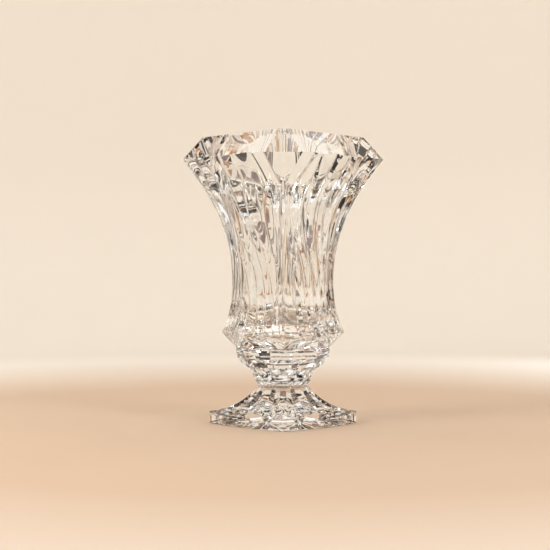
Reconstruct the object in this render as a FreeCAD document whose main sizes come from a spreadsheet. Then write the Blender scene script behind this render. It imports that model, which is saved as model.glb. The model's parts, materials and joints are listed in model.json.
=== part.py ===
"""A footed cut crystal vase, standing corner-on, in millimetres with +Z up.

Four pieces of clear glass are joined hot, face to face, on flat seats: a square foot whose hollow
sweep is grooved into petals, a faceted neck collar, a solid octagonal cup, and the hollow bowl
with its wavy flutes.  The origin is the centre of the foot's underside.  The corners of the
square plan point along X and Y.
"""
import FreeCAD, Part
import math
import os

from FreeCAD import Placement, Rotation, Vector
from Sketcher import Constraint

doc = FreeCAD.newDocument("crystal_vase")

# ---------------------------------------------------------------- driving sizes
# Radii are from the vase's axis.  Heights within a piece are from that piece's own seat.
SIZES = {
    "foot_height": 39.0,          # underside to the collar's seat
    "foot_corner": 78.5,          # axis to a corner of the square foot
    "foot_bow": 5.7,              # how far a side bulges past the straight line
    "foot_edge": 12.7,            # height of the upright edge at a corner
    "foot_sweep": 72.0,           # radius of the hollow sweep from edge to neck
    "foot_petals": 12.0,          # petals round the sweep, with a groove between each two
    "groove_depth": 5.5,          # depth of a groove where it runs out over the edge
    "groove_spread": 1.6,         # half a groove's width against its depth
    "neck_radius": 27.5,          # narrowest radius, shared by foot and collar
    "collar_height": 14.5,
    "collar_flare": 4.5,          # how much wider the collar's upper band is than the neck
    "collar_band": 3.5,           # height of each upright band
    "collar_facets": 16.0,
    "cup_height": 28.5,
    "cup_radius": 50.3,           # axis to an upright edge of the octagon
    "cup_band": 12.0,             # height of the upright band
    "cup_draft": 1.6,             # how much narrower the band is at its foot
    "cup_bevel": 1.0,             # bevel round the cup's top edge
    "bowl_height": 223.0,
    "seat_overhang": 0.7,         # how far the bowl's flat base stands past the cup
    "ridge_height": 15.0,         # base to the lower zigzag ridge
    "ridge_corner": 65.5,
    "ridge_side": 51.6,
    "waist_height": 69.0,
    "waist_corner": 54.0,
    "waist_side": 43.0,
    "facet_height": 166.0,        # where the corner facets begin, as a point
    "edge_height": 197.5,         # base to the widest edge, under the rim bevel
    "edge_corner": 106.0,
    "edge_facet": 18.9,           # half the width of a corner facet at that edge
    "lip_corner": 85.8,           # top edge of the rim bevel
    "lip_facet": 3.0,
    "corner_blunt": 1.2,          # half the width of a corner edge below its facet
    "flute_depth": 0.118,         # a flute's depth against its width
    "flute_valley": 0.78,         # where across a flute it is deepest, so one side is steep
    "floor_thickness": 19.0,      # solid glass under the cavity
    "floor_radius": 21.0,
    "wall_waist": 9.5,            # glass between the cavity and a side at the waist
    "wall_corner": 12.0,          # and at a corner at the waist
    "lip_wall": 6.5,              # width of the flat lip at the middle of a side
    "mouth_corner": 18.0,         # and across a corner
}

SIDES = 4
# The wavy ridges between flutes.  Each row is one ridge: how far across its side it stands, from
# 0 at one corner to 1 at the next, at each of the levels, which are shares of the edge height.
RIDGE_LEVELS = (0.11, 0.25, 0.41, 0.57, 0.71, 0.87, 1.06)
RIDGE_PATHS = (
    (0.29, 0.27, 0.18, 0.07, 0.03, 0.02, 0.02),
    (0.43, 0.42, 0.33, 0.17, 0.09, 0.12, 0.21),
    (0.60, 0.58, 0.52, 0.33, 0.27, 0.30, 0.23),
    (0.75, 0.73, 0.66, 0.54, 0.45, 0.45, 0.50),
    (0.88, 0.86, 0.78, 0.66, 0.56, 0.63, 0.62),
    (0.97, 0.96, 0.92, 0.83, 0.80, 0.88, 0.85),
)
LEAST_GAP = 0.015                 # between two ridges, as a share of the side
FLUTE_OVERRUN = 2.0               # how far the fluted surface runs past the bowl at each end
FLUTE_STEPS = 18                  # sections up the fluted surface
FLARE_POWER = 2.1                 # how late the bowl flares, going up from the waist
SKIRT_POWER = 2.4                 # and going down
SKIRT_RELIEF = 0.9                # how far the skirt's flats stand outside the ridge's sides
GROOVE_LIFT = 3.0                 # how far a groove's cutter stands out of the glass
GROOVE_START = 0.4                # depth of a groove beside the neck
GROOVE_HALFWAY = 0.84             # and halfway down the sweep, as a share of its full depth
GROOVE_REACH = 1.1                # where its cutter ends, as a share of the foot's corner
WASTE_REACH = 1.5                 # outside of the ring ground off the foot, as a share too
LEAST_CUT = 1.0                   # a cut that takes less glass than this has failed

sheet = doc.addObject("Spreadsheet::Sheet", "sizes")
for row, (alias, value) in enumerate(SIZES.items(), start=1):
    sheet.set(f"A{row}", alias)
    sheet.set(f"B{row}", str(value))
    sheet.setAlias(f"B{row}", alias)
doc.recompute()


def size(alias):
    """The value of one cell, for shapes made in code."""
    return float(getattr(sheet, alias))


# ---------------------------------------------------------------- sketch helpers
def origin_plane(body, role):
    return next(f for f in body.Origin.OriginFeatures if f.Role == role)


def new_body(label, seat=None):
    """A body that stands on the seat given as an expression of the sheet."""
    body = doc.addObject("PartDesign::Body", label)
    body.Label = label
    if seat:
        body.setExpression("Placement.Base.z", seat)
    return body


def new_sketch(body, name, role="XY_Plane", height=None):
    sketch = body.newObject("Sketcher::SketchObject", name)
    sketch.AttachmentSupport = [(origin_plane(body, role), "")]
    sketch.MapMode = "FlatFace"
    if height:
        sketch.setExpression("AttachmentOffset.Base.z", height)
    return sketch


def bind(sketch, constraint, expression):
    """Add a driving dimension and bind it to the sheet."""
    index = sketch.addConstraint(constraint)
    sketch.setExpression(f"Constraints[{index}]", expression)


def polygon_sketch(body, name, sides, radius, height=None):
    """A regular polygon with a corner on +X, its corner radius bound to the sheet."""
    sketch = new_sketch(body, name, height=height)
    start = sheet_value(radius)
    corners = []
    for k in range(sides):
        turn = 2 * math.pi * k / sides
        corners.append(Vector(start * math.cos(turn), start * math.sin(turn), 0))
    for k in range(sides):
        sketch.addGeometry(Part.LineSegment(corners[k], corners[(k + 1) % sides]), False)
    circle = sketch.addGeometry(Part.Circle(Vector(0, 0, 0), Vector(0, 0, 1), start), True)
    sketch.addConstraint(Constraint("Coincident", circle, 3, -1, 1))
    for k in range(sides):
        sketch.addConstraint(Constraint("Coincident", k, 2, (k + 1) % sides, 1))
        sketch.addConstraint(Constraint("PointOnObject", k, 1, circle))
    for k in range(1, sides):
        sketch.addConstraint(Constraint("Equal", 0, k))
    sketch.addConstraint(Constraint("PointOnObject", 0, 1, -1))
    bind(sketch, Constraint("Radius", circle, start), radius)
    return sketch


def outline_sketch(body, name, points, role="XZ_Plane"):
    """A closed outline of straight lines, each corner bound by two expressions (or 0)."""
    sketch = new_sketch(body, name, role)
    count = len(points)
    rough = [Vector(sheet_value(across), sheet_value(up), 0) for across, up in points]
    for k in range(count):
        sketch.addGeometry(Part.LineSegment(rough[k], rough[(k + 1) % count]), False)
    for k in range(count):
        sketch.addConstraint(Constraint("Coincident", k, 2, (k + 1) % count, 1))
    for k, (across, up) in enumerate(points):
        place_point(sketch, k, 1, across, up)
    return sketch


def sheet_value(expression):
    """What an expression comes to now, as a first guess for the sketch solver."""
    if expression == 0:
        return 0.0
    result = doc.sizes.evalExpression(expression.replace("sizes.", ""))
    return float(getattr(result, "Value", result))


def place_point(sketch, geometry, end, across, up):
    """Hold one end of a line at two bound distances from the sketch's origin."""
    if across == 0:
        sketch.addConstraint(Constraint("PointOnObject", geometry, end, -2))
    else:
        guess = sheet_value(across)
        bind(sketch, Constraint("DistanceX", -1, 1, geometry, end, guess), across)
    if up == 0:
        sketch.addConstraint(Constraint("PointOnObject", geometry, end, -1))
    else:
        guess = sheet_value(up)
        bind(sketch, Constraint("DistanceY", -1, 1, geometry, end, guess), up)


def loft(body, name, lower, upper):
    """Straight-sided glass between two sketches."""
    feature = body.newObject("PartDesign::AdditiveLoft", name)
    feature.Profile = lower
    feature.Sections = [upper]
    feature.Ruled = True
    return feature


def around_axis(body, name, feature, count):
    """Repeat a feature round the vase's axis."""
    pattern = body.newObject("PartDesign::PolarPattern", name)
    pattern.Originals = [feature]
    pattern.Axis = (origin_plane(body, "Z_Axis"), [""])
    pattern.Angle = 360
    pattern.setExpression("Occurrences", count)
    body.Tip = pattern
    return pattern


def must_cut(body, feature, before):
    """Stop if a cut removed nothing."""
    doc.recompute()
    if not body.Shape.Volume < before - LEAST_CUT:
        raise RuntimeError(f"{feature.Name} removes no glass")


# ---------------------------------------------------------------- foot
SWEEP_CHORD = ("sqrt((sizes.foot_corner - sizes.neck_radius)^2"
               " + (sizes.foot_height - sizes.foot_edge)^2)")


def foot_disc(body):
    """A turned disc whose top sweeps up in a hollow arc to the neck."""
    corners = [
        (0, 0),
        ("sizes.foot_corner", 0),
        ("sizes.foot_corner", "sizes.foot_edge"),
        ("sizes.neck_radius", "sizes.foot_height"),
        (0, "sizes.foot_height"),
    ]
    sketch = outline_sketch(body, "foot_profile", corners)
    edge_line = 2
    sketch.toggleConstruction(edge_line)
    start = Vector(sheet_value("sizes.foot_corner"), sheet_value("sizes.foot_edge"), 0)
    end = Vector(sheet_value("sizes.neck_radius"), sheet_value("sizes.foot_height"), 0)
    radius = sheet_value("sizes.foot_sweep")
    middle = (start + end) / 2
    outward = Vector(end.y - start.y, start.x - end.x, 0).normalize()
    reach = math.sqrt(radius ** 2 - (start - end).Length ** 2 / 4)
    centre = middle + outward * reach
    circle = Part.Circle(centre, Vector(0, 0, 1), radius)
    first = math.atan2(end.y - centre.y, end.x - centre.x)
    last = math.atan2(start.y - centre.y, start.x - centre.x)
    arc = sketch.addGeometry(Part.ArcOfCircle(circle, first, last), False)
    sketch.addConstraint(Constraint("Coincident", arc, 1, edge_line, 2))
    sketch.addConstraint(Constraint("Coincident", arc, 2, edge_line, 1))
    bind(sketch, Constraint("Radius", arc, radius), "sizes.foot_sweep")
    disc = body.newObject("PartDesign::Revolution", "foot_disc")
    disc.Profile = sketch
    disc.ReferenceAxis = (sketch, ["V_Axis"])
    disc.Angle = 360
    return disc


def bowed_square(sketch, corner, bow):
    """Four equal arcs that meet on the axes: a square with gently bulging sides."""
    reach = sheet_value(corner)
    sag = sheet_value(bow)
    chord = reach * math.sqrt(2)
    radius = chord ** 2 / (8 * sag) + sag / 2
    offset = (radius - sag) / math.sqrt(2) - reach / 2
    half = math.asin(chord / 2 / radius)
    arcs = []
    for k in range(SIDES):
        middle = math.pi / 4 + k * math.pi / 2
        centre = Vector(-offset * math.sqrt(2) * math.cos(middle),
                        -offset * math.sqrt(2) * math.sin(middle), 0)
        circle = Part.Circle(centre, Vector(0, 0, 1), radius)
        arc = Part.ArcOfCircle(circle, middle - half, middle + half)
        arcs.append(sketch.addGeometry(arc, False))
    for k in range(SIDES):
        sketch.addConstraint(Constraint("Coincident", arcs[k], 2, arcs[(k + 1) % SIDES], 1))
        axis = -1 if k % 2 == 0 else -2
        sketch.addConstraint(Constraint("PointOnObject", arcs[k], 1, axis))
    for k in range(1, SIDES):
        sketch.addConstraint(Constraint("Equal", arcs[0], arcs[k]))
    bind(sketch, Constraint("Radius", arcs[0], radius), f"{corner}^2 / (4 * {bow}) + {bow} / 2")
    bind(sketch, Constraint("DistanceX", -1, 1, arcs[0], 1, reach), corner)
    bind(sketch, Constraint("DistanceY", -1, 1, arcs[1], 1, reach), corner)
    bind(sketch, Constraint("DistanceX", arcs[2], 1, -1, 1, reach), corner)


def square_off(body):
    """Grind the round disc to the bowed square."""
    sketch = new_sketch(body, "foot_outline")
    outside = size("foot_corner") * WASTE_REACH
    rim = sketch.addGeometry(Part.Circle(Vector(0, 0, 0), Vector(0, 0, 1), outside), False)
    sketch.addConstraint(Constraint("Coincident", rim, 3, -1, 1))
    bind(sketch, Constraint("Radius", rim, outside), f"sizes.foot_corner * {WASTE_REACH}")
    bowed_square(sketch, "sizes.foot_corner", "sizes.foot_bow")
    cut = body.newObject("PartDesign::Pocket", "foot_square")
    cut.Profile = sketch
    cut.Reversed = True
    cut.setExpression("Length", "sizes.foot_height")
    return cut


def sweep_level(reach):
    """An expression for the height of the sweep at a distance from the axis."""
    run = f"(sizes.foot_corner - sizes.neck_radius) / {SWEEP_CHORD}"
    rise = f"(sizes.foot_height - sizes.foot_edge) / {SWEEP_CHORD}"
    stand = f"sqrt(sizes.foot_sweep^2 - ({SWEEP_CHORD})^2 / 4)"
    across = f"((sizes.foot_corner + sizes.neck_radius) / 2 + {rise} * {stand})"
    up = f"((sizes.foot_height + sizes.foot_edge) / 2 + {run} * {stand})"
    return f"({up} - sqrt(sizes.foot_sweep^2 - ({reach} - {across})^2))"


def groove_section(body, name, reach, depth):
    """A V across a groove, on an upright plane half a petal round from +X."""
    sketch = new_sketch(body, name, "YZ_Plane")
    turn = "180 / sizes.foot_petals * 1deg"
    sketch.setExpression("AttachmentOffset.Rotation.Axis.x", "0")
    sketch.setExpression("AttachmentOffset.Rotation.Axis.y", "1")
    sketch.setExpression("AttachmentOffset.Rotation.Axis.z", "0")
    sketch.setExpression("AttachmentOffset.Rotation.Angle", turn)
    sketch.setExpression("AttachmentOffset.Base.x", f"({reach}) * sin({turn})")
    sketch.setExpression("AttachmentOffset.Base.z", f"({reach}) * cos({turn})")
    half = f"sizes.groove_spread * ({depth} + {GROOVE_LIFT})"
    top = f"{sweep_level(reach)} + {GROOVE_LIFT}"
    bottom = f"{sweep_level(reach)} - {depth}"
    places = [(0, sheet_value(bottom)), (sheet_value(half), sheet_value(top)),
              (-sheet_value(half), sheet_value(top))]
    for k in range(3):
        start, end = Vector(*places[k], 0), Vector(*places[(k + 1) % 3], 0)
        sketch.addGeometry(Part.LineSegment(start, end), False)
    for k in range(3):
        sketch.addConstraint(Constraint("Coincident", k, 2, (k + 1) % 3, 1))
    place_point(sketch, 0, 1, 0, bottom)
    place_point(sketch, 1, 1, half, top)
    sketch.addConstraint(Constraint("Symmetric", 1, 1, 1, 2, -2))
    return sketch


def groove(body):
    """One V-shaped groove that deepens down the sweep and runs out over the edge."""
    middle = "(sizes.foot_corner + sizes.neck_radius) / 2"
    sections = [
        groove_section(body, "groove_head", "sizes.neck_radius + 1", f"{GROOVE_START}"),
        groove_section(body, "groove_middle", middle, f"sizes.groove_depth * {GROOVE_HALFWAY}"),
        groove_section(body, "groove_tail", f"sizes.foot_corner * {GROOVE_REACH}",
                       "sizes.groove_depth"),
    ]
    cut = body.newObject("PartDesign::SubtractiveLoft", "foot_groove")
    cut.Profile = sections[0]
    cut.Sections = sections[1:]
    cut.Ruled = False
    return cut


def make_foot():
    body = new_body("foot")
    foot_disc(body)
    doc.recompute()
    before = body.Shape.Volume
    must_cut(body, square_off(body), before)
    before = body.Shape.Volume
    one = groove(body)
    must_cut(body, one, before)
    before = body.Shape.Volume
    must_cut(body, around_axis(body, "foot_grooves", one, "sizes.foot_petals"), before)
    return body


# ---------------------------------------------------------------- neck collar and cup
COLLAR_RIM = "sizes.neck_radius + sizes.collar_flare"


def stacked_polygons(body, sides, levels):
    """Straight-sided glass between polygons, each a radius and a height above the seat."""
    for k, (lower, upper) in enumerate(zip(levels, levels[1:])):
        name = f"{body.Label}_level_{k}"
        bottom = polygon_sketch(body, f"{name}_foot", sides, *lower)
        top = polygon_sketch(body, f"{name}_head", sides, *upper)
        loft(body, name, bottom, top)
        doc.recompute()


def make_collar():
    """A ring of upright facets that opens out from the neck to the cup."""
    body = new_body("neck_collar", "sizes.foot_height")
    levels = [
        ("sizes.neck_radius", None),
        ("sizes.neck_radius", "sizes.collar_band"),
        (COLLAR_RIM, "sizes.collar_height - sizes.collar_band"),
        (COLLAR_RIM, "sizes.collar_height"),
    ]
    stacked_polygons(body, int(size("collar_facets")), levels)
    return body


def make_cup():
    """The solid octagon that carries the bowl: a taper, an upright band and a bevel."""
    body = new_body("cup", "sizes.foot_height + sizes.collar_height")
    levels = [
        (COLLAR_RIM, None),
        ("sizes.cup_radius - sizes.cup_draft", "sizes.cup_height - sizes.cup_band"),
        ("sizes.cup_radius", "sizes.cup_height - sizes.cup_bevel"),
        ("sizes.cup_radius - sizes.cup_bevel", "sizes.cup_height"),
    ]
    stacked_polygons(body, 8, levels)
    return body


# ---------------------------------------------------------------- bowl
def eased(share):
    """0 to 1 with level ends."""
    share = min(max(share, 0.0), 1.0)
    return share * share * (3 - 2 * share)


def flared(height, waist, above, below):
    """A radius that is least at the waist and reaches two others at the edge and the ridge."""
    middle = size("waist_height")
    if height >= middle:
        share = (height - middle) / (size("edge_height") - middle)
        return waist + (above - waist) * share ** FLARE_POWER
    share = (middle - height) / (middle - size("ridge_height"))
    return waist + (below - waist) * share ** SKIRT_POWER


def facet_width(height):
    """Half the width of a corner: a blunt edge, then a facet that widens towards the rim."""
    share = (height - size("facet_height")) / (size("edge_height") - size("facet_height"))
    return size("corner_blunt") + (size("edge_facet") - size("corner_blunt")) * max(share, 0.0)


def along_path(path, level):
    """A smooth curve through one ridge's places, level beyond both ends."""
    if level <= RIDGE_LEVELS[0]:
        return path[0]
    if level >= RIDGE_LEVELS[-1]:
        return path[-1]
    k = max(i for i, at in enumerate(RIDGE_LEVELS[:-1]) if at <= level)
    t = (level - RIDGE_LEVELS[k]) / (RIDGE_LEVELS[k + 1] - RIDGE_LEVELS[k])
    first = (path[k + 1] - path[max(k - 1, 0)]) / 2
    last = (path[min(k + 2, len(path) - 1)] - path[k]) / 2
    return (path[k] * (2 * t ** 3 - 3 * t ** 2 + 1) + first * (t ** 3 - 2 * t ** 2 + t)
            + path[k + 1] * (3 * t ** 2 - 2 * t ** 3) + last * (t ** 3 - t ** 2))


def flute_lines(height):
    """Where the ridges between flutes cross a side at this height, from 0 to 1."""
    level = height / size("edge_height")
    shares = [0.0]
    for path in RIDGE_PATHS:
        shares.append(max(along_path(path, level), shares[-1] + LEAST_GAP))
    for k in range(len(shares) - 1, 0, -1):
        shares[k] = min(shares[k], 1 - LEAST_GAP * (len(shares) - k))
    return shares + [1.0]


def side_points(height):
    """The corner facet and the ridges of one side, in plan."""
    edge_side = (size("edge_corner") + size("edge_facet")) / math.sqrt(2)
    corner = flared(height, size("waist_corner"), size("edge_corner"), size("ridge_corner"))
    side = flared(height, size("waist_side"), edge_side, size("ridge_side"))
    half = facet_width(height)
    bulge = side - (corner + half) / math.sqrt(2)
    points = [(corner, -half)]
    for share in flute_lines(height):
        push = bulge * 4 * share * (1 - share) / math.sqrt(2)
        across = corner + (half - corner) * share + push
        along = half + (corner - half) * share + push
        points.append((across, along))
    return points[:-1]


def fluted_section(height):
    """A closed ring: a flat corner facet, then for each flute a gentle and a steep side."""
    ring = []
    for k in range(SIDES):
        turn = Rotation(Vector(0, 0, 1), 90.0 * k)
        for across, along in side_points(height):
            ring.append(turn.multVec(Vector(across, along, height)))
    per_side = len(ring) // SIDES
    corners = []
    for k, start in enumerate(ring):
        corners.append(start)
        if k % per_side == 0:
            continue
        way = ring[(k + 1) % len(ring)] - start
        inward = Vector(-way.y, way.x, 0)
        corners.append(start + way * size("flute_valley") + inward * size("flute_depth"))
    return Part.makePolygon(corners + corners[:1])


def fluted_core():
    """The whole outer surface of flutes, longer than the bowl at both ends."""
    span = size("bowl_height") + 2 * FLUTE_OVERRUN
    heights = [span * k / FLUTE_STEPS - FLUTE_OVERRUN for k in range(FLUTE_STEPS + 1)]
    return Part.makeLoft([fluted_section(height) for height in heights], True, False, False, 5)


def ring_of(points, height):
    """A straight-sided closed wire through plan points at one height."""
    corners = [Vector(x, y, height) for x, y in points]
    return Part.makePolygon(corners + corners[:1])


def cut_square(corner, half):
    """A square in plan, standing on its corners, each corner cut off."""
    points = []
    for k in range(SIDES):
        turn = Rotation(Vector(0, 0, 1), 90.0 * k)
        for along in (-half, half):
            place = turn.multVec(Vector(corner, along, 0))
            points.append((place.x, place.y))
    return points


def rim_bevel():
    """Everything under the sloping band that runs down and out from the lip."""
    top = size("bowl_height")
    fall = top - size("edge_height")
    spread = top / fall
    corner = size("lip_corner") + (size("edge_corner") - size("lip_corner")) * spread
    half = size("lip_facet") + (size("edge_facet") - size("lip_facet")) * spread
    lower = ring_of(cut_square(corner, half), 0.0)
    upper = ring_of(cut_square(size("lip_corner"), size("lip_facet")), top)
    return Part.makeLoft([lower, upper], True, True)


def star(corner, middle):
    """Eight plan points, on the corners and on the middles of the sides by turns."""
    points = []
    for k in range(2 * SIDES):
        radius = corner if k % 2 == 0 else middle
        turn = math.pi * k / SIDES
        points.append((radius * math.cos(turn), radius * math.sin(turn)))
    return points


def skirt_waste():
    """The glass ground away under the ridge, down to the flat seat."""
    depth = 2 * size("ridge_height")
    seat = size("cup_radius") + size("seat_overhang")
    corner = seat + 2 * (size("ridge_corner") - seat)
    middle = seat + 2 * (size("ridge_side") + SKIRT_RELIEF - seat)
    kept = Part.makeLoft([ring_of(star(seat, seat), 0.0), ring_of(star(corner, middle), depth)],
                         True, True)
    block = Part.makeCylinder(2 * size("edge_corner"), depth)
    return block.cut(kept)


def soft_square(corner, middle, height):
    """Four arcs through the corners and the middles of the sides."""
    edges = []
    for k in range(SIDES):
        turn = Rotation(Vector(0, 0, 1), 90.0 * k)
        start = turn.multVec(Vector(corner, 0, 0))
        end = turn.multVec(Vector(0, corner, 0))
        through = turn.multVec(Vector(middle, middle, 0) / math.sqrt(2))
        lift = Vector(0, 0, height)
        edges.append(Part.Arc(start + lift, through + lift, end + lift).toShape())
    return Part.Wire(edges)


def cavity():
    """The space for water and stems: round at the floor, a soft square at the mouth."""
    waist = size("waist_height")
    top = size("bowl_height")
    floor = size("floor_thickness")
    side_low = size("waist_side") - size("wall_waist")
    corner_low = size("waist_corner") - size("wall_corner")
    side_high = (size("lip_corner") + size("lip_facet")) / math.sqrt(2) - size("lip_wall")
    corner_high = size("lip_corner") - size("mouth_corner")
    sections = []
    for share in (0.0, 0.08, 0.3, 0.65):
        rounding = math.sqrt(1 - (1 - share) ** 2)
        radius = size("floor_radius")
        corner = radius + (corner_low - radius) * rounding
        side = radius + (side_low - radius) * rounding
        sections.append(soft_square(corner, side, floor + (waist - floor) * share))
    for share in (0.0, 0.2, 0.4, 0.6, 0.8, 1.0, 1.05):
        opening = eased(share)
        corner = corner_low + (corner_high - corner_low) * opening
        side = side_low + (side_high - side_low) * opening
        sections.append(soft_square(corner, side, waist + (top - waist) * share))
    return Part.makeLoft(sections, True, False, False, 5)


def make_bowl():
    shape = fluted_core().common(rim_bevel())
    shape = shape.cut(skirt_waste())
    shape = shape.cut(cavity())
    bowl = doc.addObject("Part::Feature", "bowl")
    bowl.Label = "bowl"
    bowl.Shape = shape.Solids[0] if len(shape.Solids) == 1 else shape
    seat = size("foot_height") + size("collar_height") + size("cup_height")
    bowl.Placement = Placement(Vector(0, 0, seat), Rotation())
    return bowl


# ---------------------------------------------------------------- build, check, write
pieces = [make_foot(), make_collar(), make_cup(), make_bowl()]
doc.recompute()

for thing in doc.Objects:
    if "Invalid" in thing.State or "Error" in thing.State:
        raise RuntimeError(f"{thing.Label} did not compute: {thing.State}")

os.makedirs("parts", exist_ok=True)
for piece in pieces:
    shape = piece.Shape
    if shape.isNull() or not shape.isValid() or len(shape.Solids) != 1:
        raise RuntimeError(f"{piece.Label} is not one valid solid")
    shape.exportStep(f"parts/{piece.Label}.step")
    box = shape.optimalBoundingBox(False)
    print(f"{piece.Label}: {shape.Volume / 1000:.1f} cm3, z {box.ZMin:.2f} to {box.ZMax:.2f}, "
          f"reach {box.XMax:.2f}, {len(shape.Faces)} faces")
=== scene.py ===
# %% [markdown]
# # A footed cut crystal vase
# The vase is modelled as four pieces of clear glass, joined face to face: a solid square foot, a
# ring of small facets at the neck, a solid octagonal cup and a hollow fluted bowl.  Glass has no
# colour of its own, so its look is all shape and light: every ridge, facet and wall has to be
# real geometry with clean normals, and the room has to hold something dark for the cuts to pick up.

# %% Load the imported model
import bmesh
import bpy
import json
import math
from mathutils import Matrix, Vector

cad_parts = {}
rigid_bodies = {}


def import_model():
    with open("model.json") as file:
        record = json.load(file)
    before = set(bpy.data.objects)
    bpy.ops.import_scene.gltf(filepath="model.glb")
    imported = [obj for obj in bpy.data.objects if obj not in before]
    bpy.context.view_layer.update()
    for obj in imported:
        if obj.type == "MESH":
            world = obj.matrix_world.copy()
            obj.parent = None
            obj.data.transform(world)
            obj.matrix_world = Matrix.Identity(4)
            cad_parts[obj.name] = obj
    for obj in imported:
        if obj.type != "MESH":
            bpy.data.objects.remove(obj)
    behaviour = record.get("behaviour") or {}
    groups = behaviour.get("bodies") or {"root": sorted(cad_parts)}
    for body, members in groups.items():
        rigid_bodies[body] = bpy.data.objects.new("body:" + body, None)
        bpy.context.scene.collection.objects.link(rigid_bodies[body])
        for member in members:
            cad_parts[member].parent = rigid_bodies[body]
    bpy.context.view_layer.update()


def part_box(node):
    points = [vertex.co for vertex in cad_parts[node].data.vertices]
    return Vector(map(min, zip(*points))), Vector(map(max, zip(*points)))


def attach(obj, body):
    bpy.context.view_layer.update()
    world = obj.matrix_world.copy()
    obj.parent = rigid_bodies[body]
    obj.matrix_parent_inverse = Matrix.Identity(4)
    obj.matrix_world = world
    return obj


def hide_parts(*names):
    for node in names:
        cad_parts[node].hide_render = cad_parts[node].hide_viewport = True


for leftover in list(bpy.data.objects):
    bpy.data.objects.remove(leftover)
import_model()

# %% [markdown]
# ## Sizes
# The design file settles how big each piece is and where one sits on the next.  Those sizes are
# read from the frame, so that nothing has to be fitted.  What the boxes can't tell, such as the
# waist of the bowl, is named here.  All sizes are in metres.  The flutes are cut a little deeper
# than in the design file, for contrast.

# %% Levels and reaches from the frame
foot_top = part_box("foot")[1].z
collar_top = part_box("neck_collar")[1].z
cup_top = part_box("cup")[1].z
lip_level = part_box("bowl")[1].z
foot_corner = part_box("foot")[1].x
collar_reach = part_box("neck_collar")[1].x
cup_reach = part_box("cup")[1].x
edge_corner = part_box("bowl")[1].x
bowl_height = lip_level - cup_top
print(f"seats at {foot_top:.4f}, {collar_top:.4f} and {cup_top:.4f}, lip at {lip_level:.4f}")

# %% Sizes of the bowl's shape
SIDES = 4
ridge_height = 0.0150      # bowl's seat to the zigzag ridge
ridge_corner = 0.0655
ridge_side = 0.0516
waist_height = 0.0690
waist_corner = 0.0540
waist_side = 0.0430
facet_height = 0.1660      # where a corner facet starts, as a point
edge_height = 0.1975       # the widest level, under the rim bevel
edge_facet = 0.0189        # half a corner facet's width up there
lip_corner = 0.0858
lip_facet = 0.0030
corner_blunt = 0.0012
seat_corner = 0.0510
flare_power = 2.1          # how late the bowl flares, going up from the waist
skirt_power = 2.4          # and going down
facet_dish = 0.012         # how hollow a corner facet is, against its width
flute_depth = 0.15         # a flute's depth against its width, before its valley is rounded
flute_valley = 0.78        # where across a flute it is deepest: one side gentle, one steep
valley_round = 0.05
ridge_round = 0.0004       # how soft the crests between flutes are
edge_side = (edge_corner + edge_facet) / math.sqrt(2)
lip_side = (lip_corner + lip_facet) / math.sqrt(2)
print(f"bowl {bowl_height:.4f} tall, {edge_side:.4f} to a side at its widest")

# %% [markdown]
# ## Skins built ring by ring
# A glassmaker's mould gives each level of the vase its own outline.  The same idea works with two
# mesh operators: a circle makes the first ring, and each next ring is extruded from it and moved
# to its own places.  Every ring has the same number of points, so ridges run along mesh edges and
# light breaks exactly on them.

# %% Helpers that grow a skin and finish a piece
def grow_skin(count, rings):
    """A bmesh whose rings of count points lie where each list in rings says."""
    bm = bmesh.new()
    ring = bmesh.ops.create_circle(bm, segments=count, radius=1.0)["verts"]
    grown = [ring]
    for _ in rings[1:]:
        edges = [bm.edges.get((ring[k - 1], ring[k])) for k in range(count)]
        made = bmesh.ops.extrude_edge_only(bm, edges=edges)["geom"]
        fresh = {item for item in made if isinstance(item, bmesh.types.BMVert)}
        ring = [next(e.other_vert(v) for e in v.link_edges if e.other_vert(v) in fresh)
                for v in ring]
        grown.append(ring)
    for ring, places in zip(grown, rings):
        for vert, place in zip(ring, places):
            vert.co = place
    return bm, grown


def close_ring(bm, ring):
    """Fill a ring with one flat face and return it."""
    return bm.faces.new(ring)


def turned(points, quarter):
    """The same points a number of quarter turns further round."""
    c, s = ((1, 0), (0, 1), (-1, 0), (0, -1))[quarter % SIDES]
    return [Vector((c * p.x - s * p.y, s * p.x + c * p.y, p.z)) for p in points]


def all_round(points):
    """Four copies of one quarter's points, in order round the axis."""
    return [p for quarter in range(SIDES) for p in turned(points, quarter)]


def make_piece(name, bm, sharp_angle):
    """Turn a bmesh into an object, smooth except where two faces meet at a real edge."""
    bmesh.ops.recalc_face_normals(bm, faces=bm.faces)
    for face in bm.faces:
        face.smooth = True
    for edge in bm.edges:
        edge.smooth = edge.calc_face_angle(math.pi) < sharp_angle
    mesh = bpy.data.meshes.new(name)
    bm.to_mesh(mesh)
    bm.free()
    piece = bpy.data.objects.new(name, mesh)
    bpy.context.scene.collection.objects.link(piece)
    print(f"{name}: {len(mesh.vertices)} points, {len(mesh.polygons)} faces")
    return piece


# %% [markdown]
# ## The fluted surface of the bowl
# Flutes are hollows cut by the round edge of a wheel, side by side, so between two of them a
# crest stands.  On this vase the crests wander: all drift the same way as they go down, and some
# run out along a corner.  One function places the crests at any height, another hangs a hollow
# between each two.

# %% Crests and hollows
def eased(share):
    """0 to 1 with level ends."""
    share = min(max(share, 0.0), 1.0)
    return share * share * (3 - 2 * share)


def flared(height, waist, above, below):
    """A reach that is least at the waist and grows to two others, up and down."""
    if height >= waist_height:
        share = (height - waist_height) / (edge_height - waist_height)
        return waist + (above - waist) * share ** flare_power
    share = (waist_height - height) / (waist_height - ridge_height)
    return waist + (below - waist) * share ** skirt_power


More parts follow.
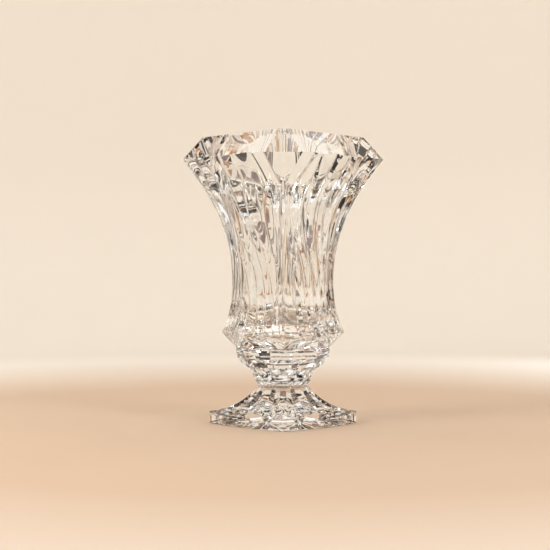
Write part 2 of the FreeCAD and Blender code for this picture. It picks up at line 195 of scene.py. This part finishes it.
# Levels above the seat, and how far across its side each crest stands there: 0 is the corner
# on the left and 1 the corner on the right.
crest_levels = (0.022, 0.049, 0.081, 0.113, 0.140, 0.172, 0.209)
crest_paths = (
    (0.29, 0.27, 0.18, 0.07, 0.03, 0.02, 0.02),
    (0.43, 0.42, 0.33, 0.17, 0.09, 0.12, 0.21),
    (0.60, 0.58, 0.52, 0.33, 0.27, 0.30, 0.23),
    (0.75, 0.73, 0.66, 0.54, 0.45, 0.45, 0.50),
    (0.88, 0.86, 0.78, 0.66, 0.56, 0.63, 0.62),
    (0.97, 0.96, 0.92, 0.83, 0.80, 0.88, 0.85),
)
least_gap = 0.004


def along_path(path, height):
    """A smooth curve through the path's values, flat beyond its ends."""
    if height <= crest_levels[0]:
        return path[0]
    if height >= crest_levels[-1]:
        return path[-1]
    k = max(i for i, level in enumerate(crest_levels[:-1]) if level <= height)
    low, high = crest_levels[k], crest_levels[k + 1]
    before = path[max(k - 1, 0)]
    after = path[min(k + 2, len(path) - 1)]
    first = (path[k + 1] - before) / 2
    last = (after - path[k]) / 2
    t = (height - low) / (high - low)
    return (path[k] * (2 * t ** 3 - 3 * t ** 2 + 1) + first * (t ** 3 - 2 * t ** 2 + t)
            + path[k + 1] * (3 * t ** 2 - 2 * t ** 3) + last * (t ** 3 - t ** 2))


def crest_shares(height):
    """Where the crests cross a side at this height, in order and never touching."""
    shares = [0.0]
    for path in crest_paths:
        shares.append(max(along_path(path, height), shares[-1] + least_gap))
    for k in range(len(shares) - 1, 0, -1):
        shares[k] = min(shares[k], 1 - least_gap * (len(shares) - k))
    return shares + [1.0]


def crest_points(height):
    """The corner facet and the crests of one side, in plan."""
    corner = flared(height, waist_corner, edge_corner, ridge_corner)
    side = flared(height, waist_side, edge_side, ridge_side)
    half = (height - facet_height) / (edge_height - facet_height)
    half = corner_blunt + (edge_facet - corner_blunt) * max(half, 0.0)
    bulge = side - (corner + half) / math.sqrt(2)
    points = [Vector((corner, -half, 0))]
    for share in crest_shares(height):
        push = bulge * 4 * share * (1 - share) / math.sqrt(2)
        across = corner + (half - corner) * share + push
        along = half + (corner - half) * share + push
        points.append(Vector((across, along, 0)))
    return points


def across_flute(share):
    """Depth of a flute across its width, from 0 at the crests to about 1 in the valley."""
    gentle = share / flute_valley
    steep = (1 - share) / (1 - flute_valley)
    apart = gentle - steep
    return (gentle + steep - math.sqrt(apart ** 2 + valley_round)) / 2 + (
        math.sqrt((1 / flute_valley) ** 2 + valley_round) - 1 / flute_valley) / 2


def flute_point(strip, share, height):
    """A place on the fluted surface: which strip, how far across it, and how high."""
    points = crest_points(height)
    start, end = points[strip], points[strip + 1]
    chord = end - start
    if strip:
        depth = flute_depth * chord.length * across_flute(share)
    else:
        depth = facet_dish * chord.length * 4 * share * (1 - share)
    depth = math.sqrt(depth ** 2 + ridge_round ** 2) - ridge_round
    inward = Vector((-chord.y, chord.x, 0)).normalized()
    place = start + chord * share + inward * depth
    place.z = height
    return place


print("crests on a side:", len(crest_paths))

# %% Columns of the bowl: a corner facet and the flutes of a side
facet_columns = 4
flute_columns = 12
columns = [(0, k / facet_columns) for k in range(facet_columns)]
for strip in range(1, len(crest_paths) + 2):
    columns += [(strip, k / flute_columns) for k in range(flute_columns)]
print("columns on a side:", len(columns))

# %% [markdown]
# ## Where the flutes stop
# The rim bevel and the skirt under the ridge are flat cuts.  Each column of the fluted surface
# runs until it meets them, which gives the rim its scallops and the ridge its zigzag.

# %% Where each column meets the rim bevel and the skirt
halvings = 26              # enough to find a meeting far closer than any edge length
search_drop = 0.03         # how far under the edge the search for the rim starts
skirt_relief = 0.0009      # how far the skirt's flats stand outside the ridge's sides


def octagon_radius(angle, corner, middle):
    """Reach of an eight-sided outline whose points alternate between two radii."""
    step = math.pi / 4
    turn = angle % (2 * step)
    first, second = (corner, middle)
    if turn > step:
        turn = 2 * step - turn
    a = Vector((first, 0))
    b = Vector((second * math.cos(step), second * math.sin(step)))
    edge = b - a
    ray = Vector((math.cos(turn), math.sin(turn)))
    return (a.x * edge.y - a.y * edge.x) / (ray.x * edge.y - ray.y * edge.x)


def over_bevel(point):
    """How far a point stands out of the rim's sloping planes."""
    drop = (bowl_height - point.z) / (bowl_height - edge_height)
    flat = (point.x + point.y) / math.sqrt(2) - lip_side - (edge_side - lip_side) * drop
    blunt = point.x - lip_corner - (edge_corner - lip_corner) * drop
    return max(flat, blunt)


def over_skirt(point):
    """How far a point stands out of the skirt's slope."""
    angle = math.atan2(point.y, point.x)
    seat = octagon_radius(angle, seat_corner, seat_corner)
    ridge = octagon_radius(angle, ridge_corner, ridge_side + skirt_relief)
    return math.hypot(point.x, point.y) - seat - (ridge - seat) * point.z / ridge_height


def meeting(test, strip, share, inside, outside):
    """The height where a column crosses from inside a cut to outside it."""
    for _ in range(halvings):
        middle = (inside + outside) / 2
        if test(flute_point(strip, share, middle)) < 0:
            inside = middle
        else:
            outside = middle
    return (inside + outside) / 2


tops = [meeting(over_bevel, *column, edge_height - search_drop, bowl_height)
        for column in columns]
feet = [meeting(over_skirt, *column, 2 * ridge_height, 0.0) for column in columns]
print(f"flutes end between {min(tops):.4f} and {max(tops):.4f}, start from {min(feet):.4f}")

# %% [markdown]
# ## The hollow inside
# A plunger shapes the inside, so it is smooth: round at the floor, and a square with soft
# corners at the mouth.  A superellipse gives both, because its power sets how square it is.

# %% Outline of the hollow
floor_height = 0.0190
floor_radius = 0.0210
hollow_waist_side = waist_side - 0.0095
hollow_waist_corner = waist_corner - 0.0120
hollow_lip_side = lip_side - 0.0065
hollow_lip_corner = lip_corner - 0.0180
squarest = 0.42            # keeps the superellipse's power finite at a sharp square


def hollow_sizes(height):
    """Reach of the hollow at its corners and its sides, at one height."""
    if height < waist_height:
        share = (height - floor_height) / (waist_height - floor_height)
        rounding = math.sqrt(max(1 - (1 - share) ** 2, 0.0))
        return (floor_radius + (hollow_waist_corner - floor_radius) * rounding,
                floor_radius + (hollow_waist_side - floor_radius) * rounding)
    opening = eased((height - waist_height) / (bowl_height - waist_height))
    return (hollow_waist_corner + (hollow_lip_corner - hollow_waist_corner) * opening,
            hollow_waist_side + (hollow_lip_side - hollow_waist_side) * opening)


def hollow_point(angle, height):
    """A place on the wall of the hollow."""
    corner, side = hollow_sizes(height)
    power = 1 / (0.5 - min(math.log2(max(corner / side, 1.0)), squarest))
    x = abs(math.cos(angle - math.pi / 4)) / side
    y = abs(math.sin(angle - math.pi / 4)) / side
    reach = (x ** power + y ** power) ** (-1 / power)
    return Vector((reach * math.cos(angle), reach * math.sin(angle), height))


print(f"hollow {hollow_sizes(bowl_height)[1]:.4f} to a side at the mouth")

# %% [markdown]
# ## The bowl
# The skin starts at the flat seat, climbs the skirt and the flutes, crosses the rim bevel and the
# lip, and goes down the inside to the floor.  It is one closed skin, so light enters and leaves
# the glass as it should.  The skirt's eight panels are ground a little hollow, like lenses.

# %% Rings of the seat, the skirt and the flutes
lens_depth = 0.0016
seat_flat = cup_reach - 0.0010
flute_rows = 120


def mixed(a, b, share):
    """The value a share of the way from a to b."""
    return a + (b - a) * share


def skirt_point(low, high, angle, share):
    """A place on the skirt, ground a little hollow in the middle of each of its eight sides."""
    across = (angle / (math.pi / 4)) % 1.0
    dish = lens_depth * 4 * across * (1 - across) * math.sin(math.pi * share)
    place = mixed(low, high, share)
    return place - Vector((math.cos(angle), math.sin(angle), -1)) * dish


crossings = [flute_point(*column, top) for column, top in zip(columns, tops)]
starts = [flute_point(*column, foot) for column, foot in zip(columns, feet)]

rings = []
angles = [math.atan2(p.y, p.x) for p in starts]
for reach in (seat_flat, seat_corner):
    rings.append([Vector((math.cos(a), math.sin(a), 0)) * octagon_radius(a, reach, reach)
                  for a in angles])
for share in (0.15, 0.3, 0.5, 0.7, 0.85, 1.0):
    rings.append([skirt_point(low, high, angle, share)
                  for low, high, angle in zip(rings[1], starts, angles)])
for row in range(1, flute_rows + 1):
    rings.append([flute_point(*column, mixed(foot, top, row / flute_rows))
                  for column, foot, top in zip(columns, feet, tops)])
print("rings up to the rim:", len(rings))

# %% Rings of the rim bevel and the hollow, and the finished bowl
inner_rows = 44
row_crowding = 1.3         # the hollow's rings lie closer together near its floor
lip_ring = []
for (strip, share), place in zip(columns, crossings):
    if strip == 0:
        lip_ring.append(Vector((lip_corner, lip_facet * (2 * share - 1), bowl_height)))
    else:
        side_start = Vector((edge_corner, edge_facet))
        side_end = Vector((edge_facet, edge_corner))
        way = side_end - side_start
        along = (place.xy - side_start).dot(way) / way.length_squared
        a = Vector((lip_corner, lip_facet, bowl_height))
        b = Vector((lip_facet, lip_corner, bowl_height))
        lip_ring.append(mixed(a, b, min(max(along, 0.0), 1.0)))
for share in (0.25, 0.5, 0.75, 1.0):
    rings.append([mixed(low, high, share) for low, high in zip(crossings, lip_ring)])
mouth_start = math.atan2(lip_ring[0].y, lip_ring[0].x)
mouth_angles = [mouth_start + math.pi / 2 * k / len(columns) for k in range(len(columns))]
for row in range(inner_rows + 1):
    share = row / inner_rows
    height = mixed(bowl_height, floor_height, 1 - (1 - share) ** row_crowding)
    rings.append([hollow_point(a, height) for a in mouth_angles])

lift = Vector((0, 0, cup_top))
rings = [[p + lift for p in all_round(ring)] for ring in rings]
bm, grown = grow_skin(len(rings[0]), rings)
joint_face = close_ring(bm, grown[0])
joint_face.material_index = 1
close_ring(bm, grown[-1])
bowl = make_piece("crystal_bowl", bm, math.radians(24))

# %% [markdown]
# ## The cup and the neck collar
# Both are solid glass, ground flat and polished.  The cup is an octagon: a taper broken by a ring
# of sixteen points, then an upright band with two shallow grooves, then a hair of a bevel.  The
# collar has two tiers of sixteen facets, and the corners of one tier stand over the middles of
# the other.  Polygons stacked on each other make both, with no rounding, because cut facets meet
# in sharp edges.

# %% Polygons stacked on each other
def polygon_reach(angle, sides, reach):
    """Distance to the edge of a regular polygon with a point on +X."""
    step = 2 * math.pi / sides
    return reach * math.cos(step / 2) / math.cos(angle % step - step / 2)


def polygon_ring(count, sides, reach, level, offset=0.0):
    """Points at even angles on a polygon's outline, turned by a share of one side."""
    ring = []
    for k in range(count):
        angle = 2 * math.pi * k / count
        radius = polygon_reach(angle + 2 * math.pi / sides * offset, sides, reach)
        ring.append(Vector((radius * math.cos(angle), radius * math.sin(angle), level)))
    return ring


def stacked(name, count, levels):
    """A closed solid through a list of rings, with clear joint faces at both ends."""
    bm, grown = grow_skin(count, [polygon_ring(count, *level) for level in levels])
    for ring in (grown[0], grown[-1]):
        close_ring(bm, ring).material_index = 1
    return make_piece(name, bm, math.radians(8))


# %% The cup
cup_sides = 8
cup_points = 16
band_foot = cup_top - 0.0120
groove_level = cup_top - 0.0086
line_level = cup_top - 0.0021      # a second, finer groove under the top edge
half_groove = 0.0009
cup = stacked("crystal_cup", cup_points, [
    (cup_points, collar_reach - 0.0006, collar_top),
    (cup_points, mixed(collar_reach, cup_reach, 0.52), mixed(collar_top, band_foot, 0.46)),
    (cup_sides, cup_reach - 0.0016, band_foot),
    (cup_sides, cup_reach - 0.0010, groove_level - half_groove),
    (cup_sides, cup_reach - 0.0022, groove_level),
    (cup_sides, cup_reach - 0.0008, groove_level + half_groove),
    (cup_sides, cup_reach, line_level - half_groove),
    (cup_sides, cup_reach - 0.0012, line_level),
    (cup_sides, cup_reach, line_level + half_groove),
    (cup_sides, seat_flat, cup_top),
])

# %% The collar
collar_sides = 16
neck_reach = 0.0275
tier_level = foot_top + 0.0070
tier_reach = 0.0302
collar = stacked("crystal_neck_collar", collar_sides * 2, [
    (collar_sides, neck_reach, foot_top),
    (collar_sides, neck_reach, foot_top + 0.0030),
    (collar_sides, tier_reach, tier_level, 0.5),
    (collar_sides, tier_reach - 0.0008, tier_level + 0.0012, 0.5),
    (collar_sides, collar_reach, collar_top - 0.0035),
    (collar_sides, collar_reach, collar_top - 0.0006),
    (collar_sides, collar_reach - 0.0006, collar_top),
])

# %% [markdown]
# ## The foot
# The foot is a square with gently bowed sides.  From its upright edge the glass sweeps up to the
# neck.  Twelve petals lie round the sweep, each level across its middle, with a groove between
# every two that deepens towards the edge.  A shallow star is ground into the underside, which is
# how many such feet are finished.  The mesh is rings again, so that the grooves, the petals and
# the star's rays all fall on its edges.

# %% Outline and sweep of the foot
foot_bow = 0.0057
foot_edge = 0.0127
foot_sweep = 0.0720
petals = 12
groove_depth = 0.0055
groove_fade = 0.6          # how a groove shallows on its way up to the neck
arch_reach = 0.0615
arch_swell = 0.003


def bowed_reach(angle):
    """Reach of the square with bowed sides: four arcs that meet on the axes."""
    sag = foot_bow
    radius = foot_corner ** 2 / (4 * sag) + sag / 2
    back = radius - sag - foot_corner / math.sqrt(2)
    turn = angle % (math.pi / 2) - math.pi / 4
    return -back * math.cos(turn) + math.sqrt(radius ** 2 - (back * math.sin(turn)) ** 2)


def sweep_level(reach):
    """Height of the hollow arc that joins the foot's edge to the neck."""
    low = Vector((foot_corner, foot_edge))
    high = Vector((neck_reach, foot_top))
    chord = high - low
    out = Vector((chord.y, -chord.x)).normalized()
    centre = (low + high) / 2 + out * math.sqrt(foot_sweep ** 2 - chord.length_squared / 4)
    return centre.y - math.sqrt(max(foot_sweep ** 2 - (reach - centre.x) ** 2, 0.0))


petal_flat = 0.375         # share of a petal's half width that stays level across
foot_steps = petals * 16
foot_angles = [2 * math.pi * k / foot_steps for k in range(foot_steps)]


def across_petal(angle):
    """0 on the middle line of a petal and 1 in the groove between two."""
    across = (angle / (2 * math.pi) * petals) % 1.0
    return min(across, 1 - across) * 2


def foot_ring(reaches, level=None, share=None):
    """Points of the foot at these reaches, on a level or on the grooved sweep."""
    ring = []
    for angle, reach in zip(foot_angles, reaches):
        if level is None:
            flank = max(0.0, (across_petal(angle) - petal_flat) / (1 - petal_flat))
            height = sweep_level(reach) - groove_depth * flank * (1 - share) ** groove_fade
        else:
            height = level
        ring.append(Vector((reach * math.cos(angle), reach * math.sin(angle), height)))
    return ring


print(f"foot {foot_corner:.4f} to a corner, {bowed_reach(math.pi / 4):.4f} to a side")

# %% Grow the foot
outline = [bowed_reach(angle) for angle in foot_angles]
neck = [neck_reach] * foot_steps
facet_neck = [polygon_reach(angle, collar_sides, neck_reach) for angle in foot_angles]
arch = []
for angle, reach in zip(foot_angles, outline):
    arch.append(min(arch_reach + arch_swell * across_petal(angle) ** 2, reach - 0.001))

star_reach = 0.0480
star_depth = 0.0024
star_steps = 8             # mesh steps from one ray to the next
star_rings = ((0.006, 1.0), (0.020, 0.8), (0.036, 0.5))


def star_ring(reach, share):
    """One ring of the star ground into the underside, its rays evenly spaced."""
    ring = []
    for k, angle in enumerate(foot_angles):
        ray = abs(k % star_steps - star_steps / 2) / (star_steps / 2)
        depth = star_depth * share * ray
        ring.append(Vector((reach * math.cos(angle), reach * math.sin(angle), depth)))
    return ring


rings = [star_ring(reach, share) for reach, share in star_rings]
rings += [foot_ring([star_reach] * foot_steps, level=0.0),
          foot_ring([r - 0.0006 for r in outline], level=0.0),
          foot_ring(outline, level=0.0006)]
edge_ring = foot_ring(outline, share=0.0)
rings.append([Vector((p.x, p.y, p.z - 0.0004)) for p in edge_ring])
for share in (0.01, 0.5, 1.0):
    reaches = [mixed(o, a, share) for o, a in zip(outline, arch)]
    rings.append(foot_ring(reaches, share=0.0))
sweep_rows = 40
for row in range(1, sweep_rows + 1):
    share = row / sweep_rows
    reaches = [mixed(a, n, share) for a, n in zip(arch, neck)]
    rings.append(foot_ring(reaches, share=share))
rings.append(foot_ring(facet_neck, level=foot_top))
bm, grown = grow_skin(foot_steps, rings)
close_ring(bm, grown[0])
close_ring(bm, grown[-1]).material_index = 1
foot = make_piece("crystal_foot", bm, math.radians(8))

# %% [markdown]
# ## Glass
# Crystal bends light more than window glass, so its index is about 1.55.  The polish is almost
# perfect; what keeps it from looking computed is the faint waviness that fire polishing leaves,
# here a soft noise through a bump node.  Where two pieces are fused, light goes straight on, so
# the joint faces are left clear: two faces of glass in the same place would act as a mirror.

# %% Crystal and the fused joint
glass_index = 1.55
wave_size = 0.018
wave_depth = 0.00004


def crystal(name, tint):
    """Clear polished glass with a faint waviness."""
    material = bpy.data.materials.new(name)
    material.use_nodes = True
    nodes, links = material.node_tree.nodes, material.node_tree.links
    shader = nodes["Principled BSDF"]
    shader.inputs["Base Color"].default_value = (*tint, 1.0)
    shader.inputs["Transmission Weight"].default_value = 1.0
    shader.inputs["Roughness"].default_value = 0.0
    shader.inputs["IOR"].default_value = glass_index
    place = nodes.new("ShaderNodeTexCoord")
    wave = nodes.new("ShaderNodeTexNoise")
    wave.inputs["Scale"].default_value = 1 / wave_size
    wave.inputs["Detail"].default_value = 1.0
    bump = nodes.new("ShaderNodeBump")
    bump.inputs["Distance"].default_value = wave_depth
    links.new(place.outputs["Object"], wave.inputs["Vector"])
    links.new(wave.outputs["Fac"], bump.inputs["Height"])
    links.new(bump.outputs["Normal"], shader.inputs["Normal"])
    return material


def fused_joint():
    """A face that lets light straight through."""
    material = bpy.data.materials.new("fused_joint")
    material.use_nodes = True
    nodes, links = material.node_tree.nodes, material.node_tree.links
    nodes.clear()
    clear = nodes.new("ShaderNodeBsdfTransparent")
    output = nodes.new("ShaderNodeOutputMaterial")
    links.new(clear.outputs["BSDF"], output.inputs["Surface"])
    return material


joint = fused_joint()
finishes = [
    (bowl, "bowl", "bowl_crystal", (0.985, 0.99, 0.985)),
    (cup, "cup", "cup_crystal", (0.98, 0.985, 0.99)),
    (collar, "neck_collar", "collar_crystal", (0.98, 0.985, 0.99)),
    (foot, "foot", "foot_crystal", (0.98, 0.985, 0.99)),
]
for piece, node, slot, tint in finishes:
    piece.data.materials.append(crystal(slot, tint))
    piece.data.materials.append(joint)
    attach(piece, "root")
    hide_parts(node)
    print(f"{piece.name} is finished in {slot}")

# %% [markdown]
# ## A place to stand
# A pale warm floor curves up all round into a cream wall, so that no hard line crosses behind
# the vase from any side.  It is a profile, spun once about the vase's axis.  Its colour goes from
# warm to cream with the distance from the vase, measured on Object coordinates.

# %% The cove
floor_gap = 0.0004         # air under the foot, so that its underside reflects as polish does
floor_reach = 1.25
cove_radius = 0.50
cove_steps = 12
wall_top = 1.9
warm_reach = 0.45          # the floor is warmest up to here
cream_reach = 1.0          # and cream from here on

bm = bmesh.new()
profile = [(0.0, -floor_gap), (0.3, -floor_gap), (floor_reach, -floor_gap)]
for k in range(1, cove_steps + 1):
    turn = math.pi / 2 * k / cove_steps
    profile.append((floor_reach + cove_radius * math.sin(turn),
                    cove_radius * (1 - math.cos(turn)) - floor_gap))
profile.append((floor_reach + cove_radius, wall_top))
verts = [bm.verts.new((reach, 0, level)) for reach, level in profile]
edges = [bm.edges.new(pair) for pair in zip(verts, verts[1:])]
bmesh.ops.spin(bm, geom=edges, cent=(0, 0, 0), axis=(0, 0, 1), angle=2 * math.pi, steps=96,
               use_merge=True)
bmesh.ops.remove_doubles(bm, verts=bm.verts, dist=1e-6)
cove = make_piece("cove", bm, math.radians(60))

paper = bpy.data.materials.new("cove_paper")
paper.use_nodes = True
nodes, links = paper.node_tree.nodes, paper.node_tree.links
shader = nodes["Principled BSDF"]
shader.inputs["Roughness"].default_value = 0.9
place = nodes.new("ShaderNodeTexCoord")
reach = nodes.new("ShaderNodeVectorMath")
reach.operation = "LENGTH"
ramp = nodes.new("ShaderNodeValToRGB")
ramp.color_ramp.elements[0].position = warm_reach
ramp.color_ramp.elements[0].color = (0.62, 0.46, 0.33, 1)
ramp.color_ramp.elements[1].position = cream_reach
ramp.color_ramp.elements[1].color = (0.86, 0.80, 0.72, 1)
links.new(place.outputs["Object"], reach.inputs[0])
links.new(reach.outputs["Value"], ramp.inputs["Fac"])
links.new(ramp.outputs["Color"], shader.inputs["Base Color"])
cove.data.materials.append(paper)

# %% [markdown]
# ## Cards for the glass to bend
# Clear glass in an all-pale room vanishes.  In a studio, cards stand round it, out of the
# picture: the cuts bend black ones into dark lines, and brown and grey ones into warm and cool
# patches.  Here only rays that have touched the glass see the cards, so they light and shade
# nothing.  Their places were found by trying, until the cuts read clearly from the front.  The
# same set stands in each quarter, so that the vase is as lively from every side.

# %% Cards round the wall
card_distance = 1.15


def upright_card(bm, bearing, width, foot, height):
    """One upright card that faces the vase, at a bearing in degrees from +Y towards +X."""
    made = bmesh.ops.create_grid(bm, x_segments=1, y_segments=1, size=0.5)["verts"]
    bmesh.ops.scale(bm, verts=made, vec=(width, height, 1))
    bmesh.ops.rotate(bm, verts=made, matrix=Matrix.Rotation(math.pi / 2, 3, "X"))
    bmesh.ops.translate(bm, verts=made, vec=(0, card_distance, foot + height / 2))
    bmesh.ops.rotate(bm, verts=made, matrix=Matrix.Rotation(-math.radians(bearing), 3, "Z"))


def for_glass_only(name, bm, colour):
    """A set of cards in one colour, which only the glass can see."""
    cards = make_piece(name, bm, math.radians(60))
    material = bpy.data.materials.new(name)
    material.use_nodes = True
    shader = material.node_tree.nodes["Principled BSDF"]
    shader.inputs["Base Color"].default_value = (*colour, 1)
    shader.inputs["Roughness"].default_value = 0.9
    cards.data.materials.append(material)
    cards.visible_camera = False
    cards.visible_diffuse = False
    cards.visible_shadow = False


# Each card: its bearing in degrees, its width, the height of its foot, and its own height.
card_sets = {
    "black_cards": ((0.010, 0.009, 0.010),
                    ((14, 0.075, 0.08, 0.27), (21, 0.035, 0.06, 0.28), (30, 0.08, 0.0, 1.3),
                     (38, 0.05, 0.25, 0.9), (56, 0.06, 0.12, 1.2), (66, 0.05, 0.25, 0.9),
                     (75, 0.060, 0.08, 0.27))),
    "grey_cards": ((0.22, 0.165, 0.175),
                   ((7, 0.100, 0.10, 0.25), (18, 0.06, 0.06, 0.30), (47, 0.14, 0.30, 1.1),
                    (61, 0.12, 0.30, 1.1), (83, 0.090, 0.12, 0.23))),
    "brown_cards": ((0.46, 0.20, 0.06),
                    ((10, 0.055, 0.0, 0.17), (26, 0.05, 0.0, 0.15), (34, 0.10, 0.30, 0.35),
                     (51, 0.16, 0.0, 0.40), (60, 0.10, 0.50, 0.3), (79, 0.055, 0.0, 0.16))),
}
for name, (colour, cards) in card_sets.items():
    bm = bmesh.new()
    for quarter in range(SIDES):
        for bearing, width, foot, height in cards:
            upright_card(bm, bearing + 90 * quarter, width, foot, height)
    for_glass_only(name, bm, colour)

# %% [markdown]
# ## What the glass sees on the floor
# The low part of the bowl bends its view down to the floor, where one warm tone would show as a
# flat band.  A pale sheet hides the far floor from the glass, and brown and grey strips on it,
# like spokes, give each flute something of its own to bend.

# %% A pale sheet over the far floor, and strips on it
sheet_inside = 0.18
sheet_outside = 1.30
strip_length = 0.65
strip_middle = 0.80


def floor_strips(bm, bearings, width):
    """Strips like spokes at these bearings, and again in each quarter."""
    for bearing in bearings:
        for quarter in range(SIDES):
            made = bmesh.ops.create_grid(bm, x_segments=1, y_segments=1, size=0.5)["verts"]
            bmesh.ops.scale(bm, verts=made, vec=(width, strip_length, 1))
            bmesh.ops.translate(bm, verts=made, vec=(0, strip_middle, 0.002))
            turn = Matrix.Rotation(-math.radians(bearing + 90 * quarter), 3, "Z")
            bmesh.ops.rotate(bm, verts=made, matrix=turn)


bm = bmesh.new()
inner = bmesh.ops.create_circle(bm, segments=96, radius=sheet_inside)["verts"]
outer = bmesh.ops.create_circle(bm, segments=96, radius=sheet_outside)["verts"]
bmesh.ops.bridge_loops(bm, edges=bm.edges[:])
bmesh.ops.translate(bm, verts=inner + outer, vec=(0, 0, 0.001))
for_glass_only("pale_sheet", bm, (0.84, 0.78, 0.70))

bm = bmesh.new()
floor_strips(bm, (12, 35, 58, 80), 0.06)
for_glass_only("brown_strips", bm, (0.46, 0.21, 0.06))

bm = bmesh.new()
floor_strips(bm, (23, 46, 69), 0.08)
for_glass_only("grey_strips", bm, (0.24, 0.18, 0.18))

# %% [markdown]
# ## Soft light
# One broad window lights the vase from the left and a smaller fill from the right.  Two slim
# lamps stand low behind it for small cool glints.  Seen straight through the glass they would be
# big white blots, so they show only in reflections.  An even sky fills the rest.

# %% Lights
def soft_light(name, place, aim, width, height, power, colour):
    """A rectangular lamp that points at aim."""
    light = bpy.data.lights.new(name, "AREA")
    light.shape = "RECTANGLE"
    light.size = width
    light.size_y = height
    light.energy = power
    light.color = colour
    lamp = bpy.data.objects.new(name, light)
    bpy.context.scene.collection.objects.link(lamp)
    lamp.location = place
    lamp.rotation_euler = (Vector(aim) - Vector(place)).to_track_quat("-Z", "Y").to_euler()
    return lamp


middle = (0, 0, 0.16)
soft_light("window", (-1.0, -0.6, 0.75), middle, 0.45, 0.6, 6, (1.0, 0.98, 0.96))
soft_light("fill", (0.9, -0.9, 0.8), middle, 0.25, 0.5, 5, (0.86, 0.93, 1.0))
soft_light("low_cool", (0.75, 0.9, 0.35), middle, 0.12, 0.4, 1.2, (0.80, 0.88, 1.0))
soft_light("low_left", (-0.95, 0.6, 0.45), middle, 0.12, 0.4, 1.2, (0.90, 0.95, 1.0))
for name in ("low_cool", "low_left"):
    bpy.data.objects[name].visible_transmission = False
print("lamps:", len(bpy.data.lights))

# %% Sky
world = bpy.data.worlds.new("sky")
bpy.context.scene.world = world
world.use_nodes = True
sky = world.node_tree.nodes["Background"]
sky.inputs["Color"].default_value = (1.0, 0.985, 0.965, 1)
sky.inputs["Strength"].default_value = 1.1
print("sky strength", round(sky.inputs["Strength"].default_value, 2))

# %% [markdown]
# ## Camera
# The lens is level with the middle of the vase, so the upright edges stay parallel.  The depth of
# field is off, because every part of the vase should be sharp.

# %% Camera
camera_data = bpy.data.cameras.new("camera")
camera_data.angle = math.radians(24.42)
camera = bpy.data.objects.new("camera", camera_data)
bpy.context.scene.collection.objects.link(camera)
camera.location = (-0.0084, -1.36, 0.158)
camera.rotation_euler = (math.radians(90), 0, 0)
bpy.context.scene.camera = camera
bpy.context.scene.view_settings.view_transform = "Standard"
print("camera", round(-camera.location.y, 2), "m away")

# %% [markdown]
# ## Deep light paths
# A ray crosses many skins of glass in one pass through the vase.  If it may bounce too few times
# it ends early and leaves a black spot, so the limits are raised.

# %% Deep light paths
cycles = bpy.context.scene.cycles
bounces = 24
cycles.max_bounces = bounces
cycles.transmission_bounces = bounces
cycles.transparent_max_bounces = bounces
print("bounces allowed:", cycles.max_bounces)
